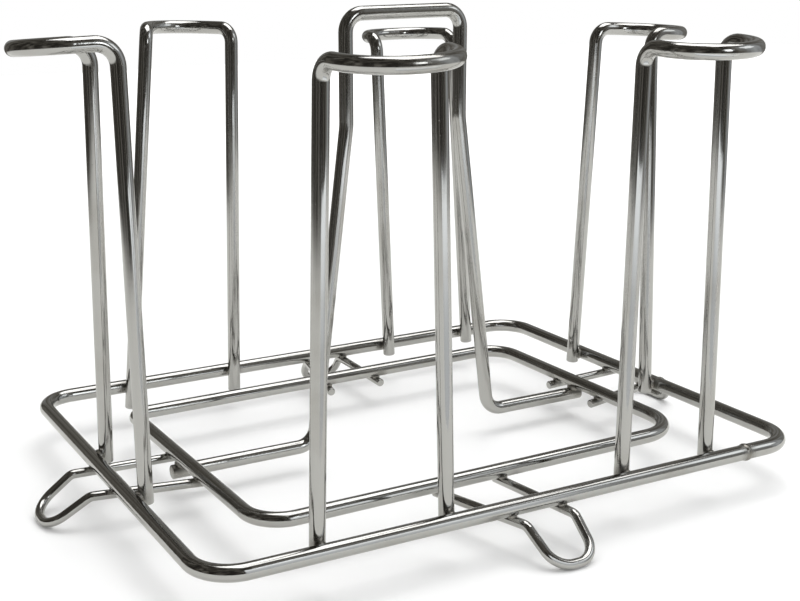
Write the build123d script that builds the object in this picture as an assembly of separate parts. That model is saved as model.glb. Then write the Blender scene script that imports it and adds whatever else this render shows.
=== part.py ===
from build123d import *
import os
from collections import namedtuple
from math import atan2, radians, tan

os.makedirs("parts", exist_ok=True)

# Six-cup rack of bent, resistance-welded, chrome-plated steel wire. All sizes in millimetres.
# The design frame has its origin at the centre of the outer ring, in the plane of the ring's wire,
# with +X along the ring's long sides, +Y to the back and +Z up. At the end everything moves so that
# the origin is the middle of the footprint, on the table.

# Wire diameters
RING_WIRE = 5.3
HEAVY_WIRE = 5.0  # inner ring, holders and handle
FOOT_WIRE = 3.2
CUT_ROUND = 0.5  # rounding of every cut end

# Rings, measured between wire centres; corners run front left, front right, back right, back left
OUTER_LENGTH = 222.0
OUTER_DEPTH = 172.0
OUTER_CORNERS = (13.0, 13.0, 13.0, 13.0)
INNER_LENGTH = 168.6
INNER_DEPTH = 113.8
INNER_CORNERS = (12.0, 16.5, 12.0, 5.5)
INNER_SHIFT = (1.4, -0.7)
INNER_TURN = 0.9  # degrees
INNER_DROP = 0.75

# Welded wires stand this far apart, and the weld nugget fills the space
WELD_GAP = 0.1
NUGGET_SHARE = 0.92  # nugget radius as a share of the thinner wire's radius
NUGGET_TURN = (25.0, 35.0, 0.0)  # degrees, keeps the poles of a nugget clear of the wires' seams

# Holders
END_ROUND_SHARE = 0.49  # share of the tongue's end that each of its round corners may take
TONGUE_STRAIGHT = 0.5  # least straight wire between the bend over a leg and the round end

# Places and spreads of the two legs run along the holder's side of the ring. End spread is the
# spread at the tongue's end. Reach is how far the tongue stands out from the legs. Heights, above
# the ring plane, are of the bend over each leg, and the tongue's end lies lower by droop. Bend is
# the radius there. Tip is how far the legs' cut ends stand below the ring plane.
HOLDER_FIELDS = (
    "side ring_place ring_spread top_place top_spread end_spread reach heights droop bend tip"
)
Holder = namedtuple("Holder", HOLDER_FIELDS)
HOLDERS = {
    "holder_front_left": Holder(
        "front", -51.5, 44.6, -51.8, 37.2, 34.2, 22.8, (141.3, 142.1), 1.3, 5.8, 3.5
    ),
    "holder_front_right": Holder(
        "front", 56.9, 36.1, 56.6, 32.1, 32.1, 23.2, (139.5, 140.0), 1.1, 5.8, 3.5
    ),
    "holder_right": Holder(
        "right", 9.5, 46.2, 8.4, 32.3, 32.3, 22.9, (137.0, 137.2), 1.2, 5.2, 3.0
    ),
    "holder_back_right": Holder(
        "back", 63.0, 39.9, 55.6, 36.5, 32.0, 19.5, (133.4, 133.4), 0.2, 5.5, 3.5
    ),
    "holder_back_left": Holder(
        "back", -52.6, 44.2, -44.6, 34.7, 21.0, 17.5, (140.6, 139.8), 0.0, 5.5, 7.5
    ),
    "holder_left": Holder(
        "left", -1.7, 40.7, -2.1, 27.4, 27.4, 27.5, (143.4, 141.7), 0.6, 7.0, 2.5
    ),
}

# Carrying handle, in a plane across the middle
HANDLE_PLACE = (6.4, 5.9)
HANDLE_HEIGHT = 147.8
HANDLE_GRIP = 46.4  # width between wire centres at the grip
HANDLE_KNEE = 109.5  # below this the uprights flare out
HANDLE_STANCE = 75.6  # width between the corners at the bottom
HANDLE_GRIP_BEND = 6.3
HANDLE_KNEE_BEND = 20.0
HANDLE_FOOT_BEND = 7.0
HANDLE_ENDS = (-86.6, 88.5)  # cut ends of the two runs, in X

# Loop feet. Places and spreads of the two arms run along the foot's side of the ring: where they
# pass under the inner ring, under the outer ring, and at the tip. Knee and reach are measured
# outward from the outer ring, to where the arms bend down and to the tip on the table.
FOOT_FIELDS = "side inner_place inner_spread place spread tip_place tip_spread knee reach end_round"
Foot = namedtuple("Foot", FOOT_FIELDS)
FEET = {
    "foot_front": Foot("front", -3.8, 23.5, 1.5, 19.3, 3.3, 15.2, 5.5, 18.3, 7.4),
    "foot_right": Foot("right", 3.6, 25.8, 6.1, 21.8, 6.0, 17.0, 13.2, 18.0, 6.8),
    "foot_back": Foot("back", 11.9, 22.3, 15.1, 16.4, 15.5, 15.6, 4.0, 9.8, 7.4),
    "foot_left": Foot("left", 4.1, 25.9, 5.8, 22.5, 7.4, 17.0, 8.0, 21.7, 8.3),
}
FOOT_END = 4.2  # the cut ends, inside the inner ring's wire centre
FOOT_BEND = 4.0
TABLE_DROP = 15.2  # ring plane above the table

# Butt weld that closes the outer ring, on its front side
BUTT_PLACE = 88.0
BUTT_BEAD = 0.35  # height of the bead above the wire
BUTT_WIDTH = 2.2


def side_frame(side):
    """Half-size of the outer ring, outward direction and along direction of one side."""
    frames = {
        "front": (OUTER_DEPTH / 2, Vector(0, -1, 0), Vector(1, 0, 0)),
        "back": (OUTER_DEPTH / 2, Vector(0, 1, 0), Vector(1, 0, 0)),
        "left": (OUTER_LENGTH / 2, Vector(-1, 0, 0), Vector(0, 1, 0)),
        "right": (OUTER_LENGTH / 2, Vector(1, 0, 0), Vector(0, 1, 0)),
    }
    return frames[side]


def inner_half(side, place):
    """Distance from the frame's origin to the inner ring's wire centre at a place on one side."""
    x_side = side in ("left", "right")
    size = INNER_LENGTH if x_side else INNER_DEPTH
    shift, across = INNER_SHIFT if x_side else INNER_SHIFT[::-1]
    sign = 1 if side in ("right", "back") else -1
    lean = -tan(radians(INNER_TURN)) if x_side else tan(radians(INNER_TURN))
    return size / 2 + sign * (shift + lean * (place - across))


def leg_plane(side):
    """Distance from the frame's origin to the centres of a side's upright legs."""
    return side_frame(side)[0] - RING_WIRE / 2 - HEAVY_WIRE / 2 - WELD_GAP


def ring_points(length, depth):
    """Corners of a ring: front left, front right, back right and back left."""
    x, y = length / 2, depth / 2
    return [Vector(-x, -y, 0), Vector(x, -y, 0), Vector(x, y, 0), Vector(-x, y, 0)]


def holder_points(h):
    """Route of one holder's wire: leg, tongue and leg, with a radius for each corner.

    Room is the length of each side of the tongue that its round corner may take.
    """
    outward, along = side_frame(h.side)[1:]
    legs = outward * leg_plane(h.side)
    up = Vector(0, 0, 1)

    def leg(sign, height):
        at_ring = along * (h.ring_place + sign * h.ring_spread / 2)
        at_top = along * (h.top_place + sign * h.top_spread / 2)
        at_end = along * (h.top_place + sign * h.end_spread / 2)
        lean = (at_top - at_ring) * (1 / height)
        tip = legs + at_ring - (up + lean) * h.tip
        bend = legs + at_top + up * height
        end = legs + at_end + outward * h.reach + up * (height - h.droop)
        return [tip, bend, end]

    turn = radians(90) - atan2(h.top_spread - h.end_spread, 2 * h.reach)
    room = h.reach - h.bend - TONGUE_STRAIGHT
    round_end = min(END_ROUND_SHARE * h.end_spread, room) / tan(turn / 2)
    points = leg(-1, h.heights[0]) + leg(1, h.heights[1])[::-1]
    return points, [h.bend, round_end, round_end, h.bend]


def handle_points():
    """Route of the carrying handle's wire, with a radius for each corner."""
    x, y = HANDLE_PLACE
    low = -INNER_DROP - HEAVY_WIRE - WELD_GAP
    left, right = HANDLE_ENDS
    half_grip, half_stance = HANDLE_GRIP / 2, HANDLE_STANCE / 2
    points = [
        Vector(left, y, low),
        Vector(x - half_stance, y, low),
        Vector(x - half_grip, y, HANDLE_KNEE),
        Vector(x - half_grip, y, HANDLE_HEIGHT),
        Vector(x + half_grip, y, HANDLE_HEIGHT),
        Vector(x + half_grip, y, HANDLE_KNEE),
        Vector(x + half_stance, y, low),
        Vector(right, y, low),
    ]
    bends = [HANDLE_FOOT_BEND, HANDLE_KNEE_BEND, HANDLE_GRIP_BEND]
    return points, bends + bends[::-1]


def arm_places(f, sign):
    """One arm of a foot, as (outward, along) pairs where it passes under the two rings."""
    inner_place = f.inner_place + sign * f.inner_spread / 2
    inner = (inner_half(f.side, inner_place), inner_place)
    outer = (side_frame(f.side)[0], f.place + sign * f.spread / 2)
    return inner, outer


def foot_points(f):
    """Route of one foot's wire: arm, loop on the table and arm, with a radius for each corner."""
    half, outward, along = side_frame(f.side)
    under_outer = -RING_WIRE / 2 - FOOT_WIRE / 2 - WELD_GAP
    under_inner = -INNER_DROP - HEAVY_WIRE / 2 - FOOT_WIRE / 2 - WELD_GAP

    def arm(sign):
        (inner, inner_place), (outer, outer_place) = arm_places(f, sign)
        under_inner_ring = outward * inner + along * inner_place + Vector(0, 0, under_inner)
        under_outer_ring = outward * outer + along * outer_place + Vector(0, 0, under_outer)
        run = (under_outer_ring - under_inner_ring) * (1 / (outer - inner))
        end = under_inner_ring - run * FOOT_END
        knee = under_outer_ring + run * f.knee
        tip_place = f.tip_place + sign * f.tip_spread / 2
        table = Vector(0, 0, FOOT_WIRE / 2 - TABLE_DROP)
        return [end, knee, outward * (half + f.reach) + along * tip_place + table]

    return arm(-1) + arm(1)[::-1], [FOOT_BEND, f.end_round, f.end_round, FOOT_BEND]


def wire_along(path, diameter):
    """Round wire swept along a path."""
    start = Plane(origin=path @ 0, z_dir=path % 0)
    return sweep(start * Circle(diameter / 2), path=path)


def bent_wire(points, radii, diameter):
    """Open wire of straight runs and tangent bends, with rounded cut ends."""
    solid = wire_along(FilletPolyline(*points, radius=radii), diameter)
    cut_ends = solid.faces().filter_by(GeomType.PLANE)
    return fillet(cut_ends.edges(), CUT_ROUND)


def ring_wire(length, depth, corners, diameter):
    """Closed wire ring with rounded corners."""
    path = FilletPolyline(*ring_points(length, depth), radius=list(corners), close=True)
    return wire_along(path, diameter)


def welded(places, radius, *solids):
    """Weld nuggets at the places where wires meet, filling the gap between those wires."""
    nuggets = []
    for place in places:
        metal = Pos(*place) * Rot(*NUGGET_TURN) * Sphere(radius)
        for solid in solids:
            metal = metal - solid
        nuggets.append(metal)
    return Compound(children=nuggets)


def holder_weld_places(h):
    """Where a holder's two legs meet the inside of the outer ring."""
    half, outward, along = side_frame(h.side)
    contact = outward * (half - RING_WIRE / 2 - WELD_GAP / 2)
    return [contact + along * (h.ring_place + sign * h.ring_spread / 2) for sign in (-1, 1)]


def foot_weld_places(f):
    """Where a foot's two arms meet the underside of the inner ring, and of the outer ring."""
    outward, along = side_frame(f.side)[1:]
    below_inner = Vector(0, 0, -INNER_DROP - HEAVY_WIRE / 2 - WELD_GAP / 2)
    below_outer = Vector(0, 0, -RING_WIRE / 2 - WELD_GAP / 2)
    places = []
    for sign in (-1, 1):
        (inner, inner_place), (outer, outer_place) = arm_places(f, sign)
        places.append(outward * inner + along * inner_place + below_inner)
        places.append(outward * outer + along * outer_place + below_outer)
    return places


def handle_weld_places():
    """Where the handle's two runs meet the underside of the inner ring."""
    y = HANDLE_PLACE[1]
    z = -INNER_DROP - HEAVY_WIRE / 2 - WELD_GAP / 2
    return [Vector(-inner_half("left", y), y, z), Vector(inner_half("right", y), y, z)]


def butt_bead():
    """Raised seam round the outer ring's wire, where its two ends are welded together."""
    wire = RING_WIRE / 2
    start, end = Vector(-BUTT_WIDTH / 2, wire), Vector(BUTT_WIDTH / 2, wire)
    crown = ThreePointArc(start, Vector(0, wire + BUTT_BEAD), end)
    bead = revolve(make_face([crown, Line(end, start)]), Axis.X)
    return Pos(BUTT_PLACE, -OUTER_DEPTH / 2, 0) * bead


# The wires
wires = {}
wires["outer_ring"] = ring_wire(OUTER_LENGTH, OUTER_DEPTH, OUTER_CORNERS, RING_WIRE)
inner_ring = ring_wire(INNER_LENGTH, INNER_DEPTH, INNER_CORNERS, HEAVY_WIRE)
wires["inner_ring"] = Pos(*INNER_SHIFT, -INNER_DROP) * Rot(0, 0, INNER_TURN) * inner_ring
wires["carry_handle"] = bent_wire(*handle_points(), HEAVY_WIRE)
for name, holder in HOLDERS.items():
    wires[name] = bent_wire(*holder_points(holder), HEAVY_WIRE)
for name, foot in FEET.items():
    wires[name] = bent_wire(*foot_points(foot), FOOT_WIRE)

# The welds
heavy_nugget = NUGGET_SHARE * HEAVY_WIRE / 2
foot_nugget = NUGGET_SHARE * FOOT_WIRE / 2
rings = wires["outer_ring"], wires["inner_ring"]
welds = {"outer_ring_butt_weld": butt_bead()}
welds["carry_handle_welds"] = welded(
    handle_weld_places(), heavy_nugget, wires["inner_ring"], wires["carry_handle"]
)
for name, holder in HOLDERS.items():
    places = holder_weld_places(holder)
    welds[name + "_welds"] = welded(places, heavy_nugget, wires["outer_ring"], wires[name])
for name, foot in FEET.items():
    welds[name + "_welds"] = welded(foot_weld_places(foot), foot_nugget, *rings, wires[name])

# Everything moves so that the origin is the middle of the footprint, on the table
box = Compound(list(wires.values())).bounding_box()
middle = box.center()
home = Pos(-middle.X, -middle.Y, TABLE_DROP)
for name, solid in {**wires, **welds}.items():
    export_step(home * solid, f"parts/{name}.step")
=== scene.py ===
from math import radians

import bpy
from mathutils import Euler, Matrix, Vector


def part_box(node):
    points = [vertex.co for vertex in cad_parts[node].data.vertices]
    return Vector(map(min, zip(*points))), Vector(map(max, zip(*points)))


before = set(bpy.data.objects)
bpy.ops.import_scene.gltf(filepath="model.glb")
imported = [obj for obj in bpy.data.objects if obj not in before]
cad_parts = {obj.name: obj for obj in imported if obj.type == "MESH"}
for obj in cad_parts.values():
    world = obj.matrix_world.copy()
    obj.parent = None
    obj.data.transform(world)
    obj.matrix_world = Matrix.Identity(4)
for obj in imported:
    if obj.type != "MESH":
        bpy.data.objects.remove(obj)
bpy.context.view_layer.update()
MM = 0.001  # lengths are in metres

# Camera: the photograph's viewpoint
CAMERA_PLACE = Vector((-0.23097, -0.39915, 0.18604))
CAMERA_TURN = (75.78, 0.78, -26.99)  # degrees
CAMERA_LENS = 59.64  # focal length, on a sensor 36 mm wide
CAMERA_SENSOR = 36.0
CAMERA_SHIFT = (0.0996, -0.0252)
CAMERA_NEAR = 0.01

# Colours of light
WHITE = (1.0, 1.0, 1.0)
WARM = (1.0, 0.93, 0.80)
COOL = (0.93, 0.97, 1.0)

# White table: it glows a little toward its edges, so that it meets the white behind it
TABLE_HALF = 1.6
TABLE_PAPER = (0.96, 0.96, 0.957)
TABLE_ROUGHNESS = 0.85
TABLE_SHINE = 0.2
GLOW = 0.3
GLOW_RADII = (0.3, 1.3)  # it grows from nothing to full between these radii
PAPER = 0.84  # light that the white paper all round throws on the table

# What the chrome reflects of the table
TABLE_EDGE = (0.46, 0.74)  # the white table fades out between these radii
TABLE_GREY = 0.86  # how much of the table's white the chrome shows
TABLE_TINT = 0.97  # share of that left in the blue

# The room that the chrome reflects, beyond the white table
ROOM_HALF = 5.9
ROOM_FLOOR_HEIGHT = 1.0 * MM  # just over the white table
DARK_ROOM = 0.062
STREAK_STRETCH = (1.0, 1.0, 0.12)  # drawn out upright
STREAK_SCALE = 4.5
STREAK_DETAIL = 3.0
STREAK_SHIFT = 4.2
STREAK_NOISE = (0.38, 0.78)  # levels of the noise that are darkest and lightest
STREAK_LIGHT = (0.45 * DARK_ROOM, 3.6 * DARK_ROOM)
WALLS = (  # direction of the middle, cosine of the angle out to the edge, brightness
    ((0.88, -0.36, 0.31), 0.62, 0.38),  # to the right
    ((0.45, 0.88, 0.12), 0.60, 0.17),  # behind
)
WALL_NOISE = (0.2, 0.6)
WALL_SHADE = (0.5, 1.0)  # how much of a wall the darkest and the lightest streaks leave
COOL_FROM = 0.4  # the room's light is warm where it is dim, and cool at this brightness

# Low white card in front of the rack
CARD_LEFT = -0.085
CARD_RIGHT = 0.14
CARD_FADE = 0.05  # it fades out from here to its right end
CARD_PLACE = -0.19  # along Y
CARD_FOOT = 0.002
CARD_TOP = 0.10
CARD_DIM = 0.3  # it is at its dimmest up to this share of its height
CARD_LIGHT = (0.85, 1.6)  # at its foot and at its top

# Soft lights: name, place, aim, size, watts and colour
SOFTBOXES = (
    ("overhead", (0.75, 0.35, 2.6), (0, 0, 0.05), (2.1, 1.9), 33.0, WHITE),
    ("window_front", (0.15, -0.64, 0.35), (0, 0, 0.1), (0.13, 0.20), 0.28, COOL),
    ("window_right", (1.2, -0.75, 1.0), (0, 0, 0.1), (0.7, 0.5), 1.4, COOL),
)

# Chrome plate on drawn wire
CHROME = (0.475, 0.47, 0.455)
CHROME_TARNISH = (0.37, 0.355, 0.325)
# Dark colour round the welds: heat stain, and painted contact shade where the wires cross
WELD_STAIN_AND_SHADE = (0.21, 0.20, 0.18)
STAIN_AND_SHADE_REACH = 5.0 * MM
STAIN_AND_SHADE_CORE = 0.35 * STAIN_AND_SHADE_REACH
RIM = 16 * MM  # the outer ring's own welds are no further than this inside its box

# Drawing lines: how fine the noise is along X, Y and Z. It is drawn out along the wire
UPRIGHT_LINES = (1.0, 1.0, 0.02)
LONG_LINES = (0.03, 1.0, 1.0)
LEVEL_LINES = (0.2, 0.2, 1.0)

# Noise in the plate: scale and detail, then how far it is shifted from the drawing lines'
LINE_SCALE, LINE_DETAIL = 520.0, 4.0
CLOUD_SCALE, CLOUD_DETAIL, CLOUD_SHIFT = 38.0, 4.0, 3.1
PIT_SCALE, PIT_DETAIL, PIT_SHIFT = 900.0, 2.0, 5.7
WIRE_SHIFT = 1.7  # from one wire's noise to the next
SHIFT_ALONG = (1.0, 0.7, 1.3)  # along X, Y and Z
EVEN = (1.0, 1.0, 1.0)  # the same fineness every way

# Levels of the noise between which each of them goes from least to most
LINE_NOISE = (0.35, 0.72)
PIT_NOISE = (0.70, 0.80)
TARNISH_NOISE = (0.48, 0.78)
# The stain round the welds below is partly painted contact shade
STAIN_AND_SHADE_NOISE = (0.30, 0.62)

# How strongly each of them shows
STAIN_AND_SHADE_PATCHES = (0.45, 1.0)
TARNISH_COLOUR = 0.55
STAIN_AND_SHADE_COLOUR = 0.75
PLATE_ROUGHNESS = (0.085, 0.165)
TARNISH_ROUGHNESS = 0.07
PIT_ROUGHNESS = 0.12
STAIN_ROUGHNESS = 0.28
PIT_DEPTH = -0.25
CLOUD_HEIGHT = 1.6
PLATE_BUMP = 0.35
PLATE_BUMP_HEIGHT = 0.09 * MM

# Weld metal
LUMP_SCALE, LUMP_DETAIL = 900.0, 3.0
LUMP_NOISE = (0.3, 0.7)
LUMP_ROUGHNESS = (0.22, 0.5)
LUMP_BUMP = 0.6
LUMP_BUMP_HEIGHT = 0.2 * MM


class Nodes:
    """Short calls for building a node tree."""

    def __init__(self, tree):
        self.tree = tree
        tree.nodes.clear()

    def add(self, kind, **settings):
        node = self.tree.nodes.new(kind)
        for name, value in settings.items():
            setattr(node, name, value)
        return node

    def link(self, output, socket):
        self.tree.links.new(output, socket)

    def math(self, operation, a, b, clamp=False):
        """a and b are numbers or outputs."""
        node = self.add("ShaderNodeMath", operation=operation, use_clamp=clamp)
        for socket, value in zip(node.inputs, (a, b)):
            if isinstance(value, (int, float)):
                socket.default_value = value
            else:
                self.link(value, socket)
        return node.outputs[0]

    def ramp(self, value, start, end, to_start=0.0, to_end=1.0):
        """Smooth step from to_start at start to to_end at end."""
        node = self.add("ShaderNodeMapRange", interpolation_type="SMOOTHSTEP")
        for name, number in zip(
            ("From Min", "From Max", "To Min", "To Max"), (start, end, to_start, to_end)
        ):
            node.inputs[name].default_value = number
        self.link(value, node.inputs["Value"])
        return node.outputs["Result"]

    def noise(self, coords, stretch, scale, detail, shift=0.0):
        """Noise, stretched along each axis and shifted."""
        mapping = self.add("ShaderNodeMapping")
        mapping.inputs["Scale"].default_value = stretch
        mapping.inputs["Location"].default_value = [shift * along for along in SHIFT_ALONG]
        self.link(coords, mapping.inputs["Vector"])
        pattern = self.add("ShaderNodeTexNoise")
        pattern.inputs["Scale"].default_value = scale
        pattern.inputs["Detail"].default_value = detail
        self.link(mapping.outputs["Vector"], pattern.inputs["Vector"])
        return pattern.outputs["Fac"]

    def mix_colour(self, factor, a, b):
        """a where factor is 0 and b where it is 1. Each is a colour or an output."""
        node = self.add("ShaderNodeMix", data_type="RGBA")
        self.link(factor, node.inputs["Factor"])
        for socket, value in ((node.inputs[6], a), (node.inputs[7], b)):
            if isinstance(value, tuple):
                socket.default_value = (*value, 1.0)
            else:
                self.link(value, socket)
        return node.outputs[2]

    def mix_shader(self, factor, a, b):
        """a where factor is 0 and b where it is 1."""
        node = self.add("ShaderNodeMixShader")
        self.link(factor, node.inputs["Fac"])
        self.link(a, node.inputs[1])
        self.link(b, node.inputs[2])
        return node.outputs[0]

    def place(self):
        """Place of the point being shaded."""
        return self.add("ShaderNodeNewGeometry").outputs["Position"]

    def radius(self, place):
        """Distance from the middle of the table."""
        node = self.add("ShaderNodeVectorMath", operation="LENGTH")
        self.link(place, node.inputs[0])
        return node.outputs["Value"]

    def bump(self, height, strength, distance, shader):
        """Gives a shader fine relief from a height."""
        node = self.add("ShaderNodeBump")
        node.inputs["Strength"].default_value = strength
        node.inputs["Distance"].default_value = distance
        self.link(height, node.inputs["Height"])
        self.link(node.outputs["Normal"], shader.inputs["Normal"])


def weld_points(node):
    """Places of the weld nuggets in a weld node: the corners or the ends of its box."""
    low, high = (Vector(c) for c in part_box(node))
    inset = min(high - low) / 2
    xs, ys = ({low[i] + inset, high[i] - inset} for i in (0, 1))
    z = (low.z + high.z) / 2
    return [Vector((x, y, z)) for x in sorted(xs) for y in sorted(ys)]


def metal(name):
    """New metal: the material, its nodes, its shader and the piece's own coordinates."""
    material = bpy.data.materials.new(name)
    material.use_nodes = True
    n = Nodes(material.node_tree)
    output = n.add("ShaderNodeOutputMaterial")
    shader = n.add("ShaderNodeBsdfPrincipled")
    shader.inputs["Metallic"].default_value = 1.0
    n.link(shader.outputs["BSDF"], output.inputs["Surface"])
    return material, n, shader, n.add("ShaderNodeTexCoord").outputs["Object"]


def weld_stain_and_shade(n, points, clouds):
    """Heat stain and spatter round each weld, in patches, darkened also as painted contact shade
    where the wires meet.
    """
    place = n.place()
    stain_and_shade = None
    for point in points:
        distance = n.add("ShaderNodeVectorMath", operation="DISTANCE")
        distance.inputs[1].default_value = point
        n.link(place, distance.inputs[0])
        # darkest at the weld: heat stain and painted contact shade, fading out with distance
        near = n.ramp(distance.outputs["Value"], STAIN_AND_SHADE_CORE, STAIN_AND_SHADE_REACH, 1.0, 0.0)
        stain_and_shade = near if stain_and_shade is None else n.math("MAXIMUM", stain_and_shade, near)
    return n.math("MULTIPLY", stain_and_shade, n.ramp(clouds, *STAIN_AND_SHADE_NOISE, *STAIN_AND_SHADE_PATCHES))


def chrome(name, fineness, stained_and_shaded, shift):
    """Chrome plate on drawn wire, with lines of this fineness, and weld stain with painted
    contact shade round these places.
    """
    material, n, shader, coords = metal(name)
    lines = n.noise(coords, fineness, LINE_SCALE, LINE_DETAIL, shift)
    clouds = n.noise(coords, EVEN, CLOUD_SCALE, CLOUD_DETAIL, shift + CLOUD_SHIFT)
    specks = n.noise(coords, EVEN, PIT_SCALE, PIT_DETAIL, shift + PIT_SHIFT)
    pits = n.ramp(specks, *PIT_NOISE)
    tarnish = n.ramp(clouds, *TARNISH_NOISE)
    # weld stain, with painted contact shade round the joints
    stain_and_shade = weld_stain_and_shade(n, stained_and_shaded, clouds)

    colour = n.mix_colour(n.math("MULTIPLY", tarnish, TARNISH_COLOUR), CHROME, CHROME_TARNISH)
    # darkens the plate round the welds: heat stain and painted contact shade
    colour = n.mix_colour(n.math("MULTIPLY", stain_and_shade, STAIN_AND_SHADE_COLOUR), colour, WELD_STAIN_AND_SHADE)
    n.link(colour, shader.inputs["Base Color"])

    rough = n.ramp(lines, *LINE_NOISE, *PLATE_ROUGHNESS)
    rough = n.math("ADD", rough, n.math("MULTIPLY", tarnish, TARNISH_ROUGHNESS))
    rough = n.math("ADD", rough, n.math("MULTIPLY", pits, PIT_ROUGHNESS))
    rough = n.math("ADD", rough, n.math("MULTIPLY", stain_and_shade, STAIN_ROUGHNESS), clamp=True)
    n.link(rough, shader.inputs["Roughness"])

    height = n.math("ADD", lines, n.math("MULTIPLY", pits, PIT_DEPTH))
    height = n.math("ADD", height, n.math("MULTIPLY", clouds, CLOUD_HEIGHT))
    n.bump(height, PLATE_BUMP, PLATE_BUMP_HEIGHT, shader)
    return material


def weld_metal():
    """Plated weld metal: lumpy, darker and duller than the wire; its dark colour is partly
    painted contact shade between the crossing wires.
    """
    material, n, shader, coords = metal("weld_metal")
    lumps = n.noise(coords, EVEN, LUMP_SCALE, LUMP_DETAIL)
    # dark weld colour: weld flash, and painted contact shade in the crossings
    n.link(n.mix_colour(lumps, WELD_STAIN_AND_SHADE, CHROME_TARNISH), shader.inputs["Base Color"])
    n.link(n.ramp(lumps, *LUMP_NOISE, *LUMP_ROUGHNESS), shader.inputs["Roughness"])
    n.bump(lumps, LUMP_BUMP, LUMP_BUMP_HEIGHT, shader)
    return material


def paint(node, material):
    """Gives one CAD node a single material."""
    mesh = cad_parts[node].data
    for index in range(len(mesh.materials)):
        mesh.materials[index] = material
    if not mesh.materials:
        mesh.materials.append(material)


def places_stained_and_shaded(name, welds):
    """Places of the welds that have stained a wire, round which it also gets painted contact
    shade.
    """
    if name == "inner_ring":
        return [p for key, points in welds.items() if "holder" not in key for p in points]
    if name != "outer_ring":
        return welds[name + "_welds"]
    low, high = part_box(name)
    places = [
        p for key, points in welds.items() if "handle" not in key for p in points
        if min(p.x - low[0], high[0] - p.x, p.y - low[1], high[1] - p.y) < RIM
    ]
    seam_low, seam_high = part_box("outer_ring_butt_weld")
    return places + [(Vector(seam_low) + Vector(seam_high)) / 2]


def line_fineness(name):
    """Drawing lines follow most of a wire's length."""
    if name.startswith(("holder", "carry")):
        return UPRIGHT_LINES
    return LONG_LINES if name == "outer_ring" else LEVEL_LINES


def dress_rack():
    """Every wire and every weld gets its material."""
    welds = {name: weld_points(name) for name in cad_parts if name.endswith("_welds")}
    nuggets = weld_metal()
    for index, name in enumerate(sorted(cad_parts)):
        if name in welds or name == "outer_ring_butt_weld":
            paint(name, nuggets)
            continue
        stained_and_shaded = places_stained_and_shaded(name, welds)
        plate = chrome("chrome_" + name, line_fineness(name), stained_and_shaded, WIRE_SHIFT * index)
        paint(name, plate)


def level_square(half, height):
    """Corners of a level square round the middle of the table."""
    return [(x * half, y * half, height) for x, y in ((-1, -1), (1, -1), (1, 1), (-1, 1))]


def sheet(name, corners, material_name):
    """One flat face: the object, and the empty node tree of its new material."""
    mesh = bpy.data.meshes.new(name)
    mesh.from_pydata(corners, [], [(0, 1, 2, 3)])
    face = bpy.data.objects.new(name, mesh)
    bpy.context.collection.objects.link(face)
    material = bpy.data.materials.new(material_name)
    material.use_nodes = True
    mesh.materials.append(material)
    return face, Nodes(material.node_tree)


def floor():
    """Plain pale floor, which meets the white behind it."""
    plane, n = sheet("floor", level_square(TABLE_HALF, 0), "floor_paper")
    output = n.add("ShaderNodeOutputMaterial")
    shader = n.add("ShaderNodeBsdfPrincipled")
    shader.inputs["Base Color"].default_value = (*TABLE_PAPER, 1.0)
    shader.inputs["Roughness"].default_value = TABLE_ROUGHNESS
    shader.inputs["Specular IOR Level"].default_value = TABLE_SHINE
    shader.inputs["Emission Color"].default_value = (*WHITE, 1.0)
    glow = n.ramp(n.radius(n.place()), *GLOW_RADII, 0.0, GLOW)
    n.link(glow, shader.inputs["Emission Strength"])
    n.link(shader.outputs["BSDF"], output.inputs["Surface"])


def room_light(n, direction, strength, colour):
    """Light from the room in a direction: dark and streaky, lighter to the right and behind."""
    streaks = n.noise(direction, STREAK_STRETCH, STREAK_SCALE, STREAK_DETAIL, STREAK_SHIFT)
    light = n.ramp(streaks, *STREAK_NOISE, *STREAK_LIGHT)
    for middle, edge, brightness in WALLS:
        toward = n.add("ShaderNodeVectorMath", operation="DOT_PRODUCT")
        toward.inputs[1].default_value = middle
        n.link(direction, toward.inputs[0])
        lit = n.ramp(toward.outputs["Value"], edge, 1.0, 0.0, brightness)
        shade = n.ramp(streaks, *WALL_NOISE, *WALL_SHADE)
        light = n.math("ADD", light, n.math("MULTIPLY", lit, shade))
    n.link(light, strength)
    n.link(n.mix_colour(n.ramp(light, DARK_ROOM, COOL_FROM), WARM, COOL), colour)


def chrome_only(name, corners):
    """A studio card that shows only in the chrome: its nodes and their output."""
    card, n = sheet(name, corners, name)
    for ray in ("camera", "diffuse", "shadow", "transmission", "volume_scatter"):
        setattr(card, "visible_" + ray, False)
    return n, n.add("ShaderNodeOutputMaterial")


def room_floor():
    """The room's dark floor beyond the white table, which it dims a little in the chrome."""
    n, output = chrome_only("room_floor", level_square(ROOM_HALF, ROOM_FLOOR_HEIGHT))
    clear = n.add("ShaderNodeBsdfTransparent")
    clear.inputs["Color"].default_value = (TABLE_GREY, TABLE_GREY, TABLE_TINT * TABLE_GREY, 1.0)
    boards = n.add("ShaderNodeEmission")
    place = n.place()
    outward = n.add("ShaderNodeVectorMath", operation="NORMALIZE")
    n.link(place, outward.inputs[0])
    room_light(n, outward.outputs["Vector"], boards.inputs["Strength"], boards.inputs["Color"])
    beyond = n.ramp(n.radius(place), *TABLE_EDGE)
    n.link(n.mix_shader(beyond, clear.outputs[0], boards.outputs[0]), output.inputs["Surface"])


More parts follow.
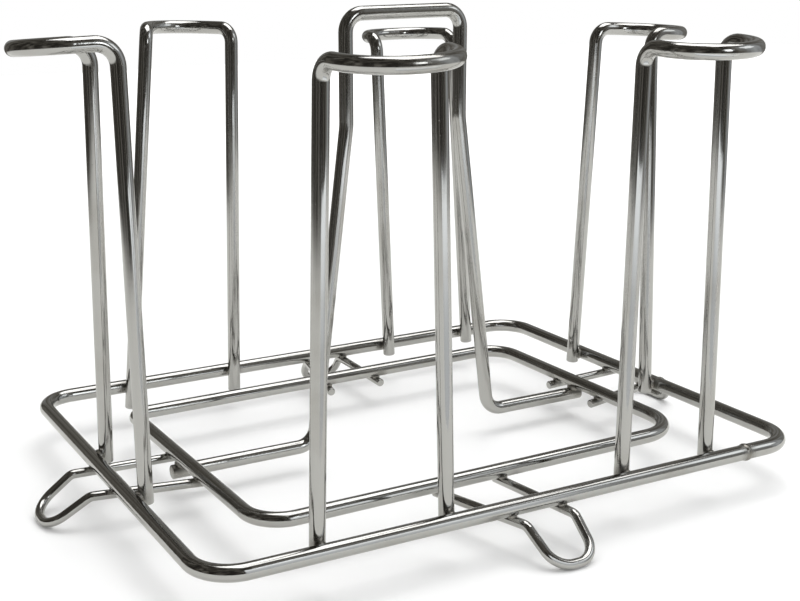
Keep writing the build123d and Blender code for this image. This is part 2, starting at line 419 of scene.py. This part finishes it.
def reflector():
    """A low white card in front of the rack, which lights up the front of the rings."""
    bottom, top = (
        [(x, CARD_PLACE, z) for x in (CARD_LEFT, CARD_RIGHT)] for z in (CARD_FOOT, CARD_TOP)
    )
    n, output = chrome_only("reflector", bottom + top[::-1])
    card = n.add("ShaderNodeEmission")
    card.inputs["Color"].default_value = (*COOL, 1.0)
    parts = n.add("ShaderNodeSeparateXYZ")
    n.link(n.place(), parts.inputs[0])
    light = n.ramp(parts.outputs["Z"], CARD_DIM * CARD_TOP, CARD_TOP, *CARD_LIGHT)
    n.link(light, card.inputs["Strength"])
    clear = n.add("ShaderNodeBsdfTransparent")
    faded = n.ramp(parts.outputs["X"], CARD_FADE, CARD_RIGHT)
    n.link(n.mix_shader(faded, card.outputs[0], clear.outputs[0]), output.inputs["Surface"])


def surroundings():
    """The room in the chrome, and plain white paper behind everything else."""
    world = bpy.data.worlds.new("studio")
    bpy.context.scene.world = world
    world.use_nodes = True
    n = Nodes(world.node_tree)
    output = n.add("ShaderNodeOutputWorld")
    room = n.add("ShaderNodeBackground")
    direction = n.add("ShaderNodeTexCoord").outputs["Generated"]
    room_light(n, direction, room.inputs["Strength"], room.inputs["Color"])
    rays = n.add("ShaderNodeLightPath")
    surface = room.outputs[0]
    for ray, strength in (("Is Diffuse Ray", PAPER), ("Is Camera Ray", 1.0)):
        paper = n.add("ShaderNodeBackground")
        paper.inputs["Color"].default_value = (*WHITE, 1.0)
        paper.inputs["Strength"].default_value = strength
        surface = n.mix_shader(rays.outputs[ray], surface, paper.outputs[0])
    n.link(surface, output.inputs["Surface"])


def lights():
    """Soft lights over the rack, in front of it and to its right."""
    for name, place, aim, size, watts, colour in SOFTBOXES:
        light = bpy.data.lights.new(name, "AREA")
        light.shape = "RECTANGLE"
        light.size, light.size_y = size
        light.energy = watts
        light.color = colour
        lamp = bpy.data.objects.new(name, light)
        lamp.location = place
        lamp.rotation_euler = (Vector(aim) - Vector(place)).to_track_quat("-Z", "Y").to_euler()
        bpy.context.collection.objects.link(lamp)


def camera():
    """The photograph's viewpoint, with plain display colours so that white paper stays white."""
    bpy.context.scene.view_settings.view_transform = "Standard"
    lens = bpy.data.cameras.new("camera")
    lens.sensor_width = CAMERA_SENSOR
    lens.lens = CAMERA_LENS
    lens.shift_x, lens.shift_y = CAMERA_SHIFT
    lens.clip_start = CAMERA_NEAR
    eye = bpy.data.objects.new("camera", lens)
    eye.location = CAMERA_PLACE
    eye.rotation_euler = Euler([radians(a) for a in CAMERA_TURN])
    bpy.context.collection.objects.link(eye)
    bpy.context.scene.camera = eye


dress_rack()
floor()
room_floor()
reflector()
surroundings()
lights()
camera()
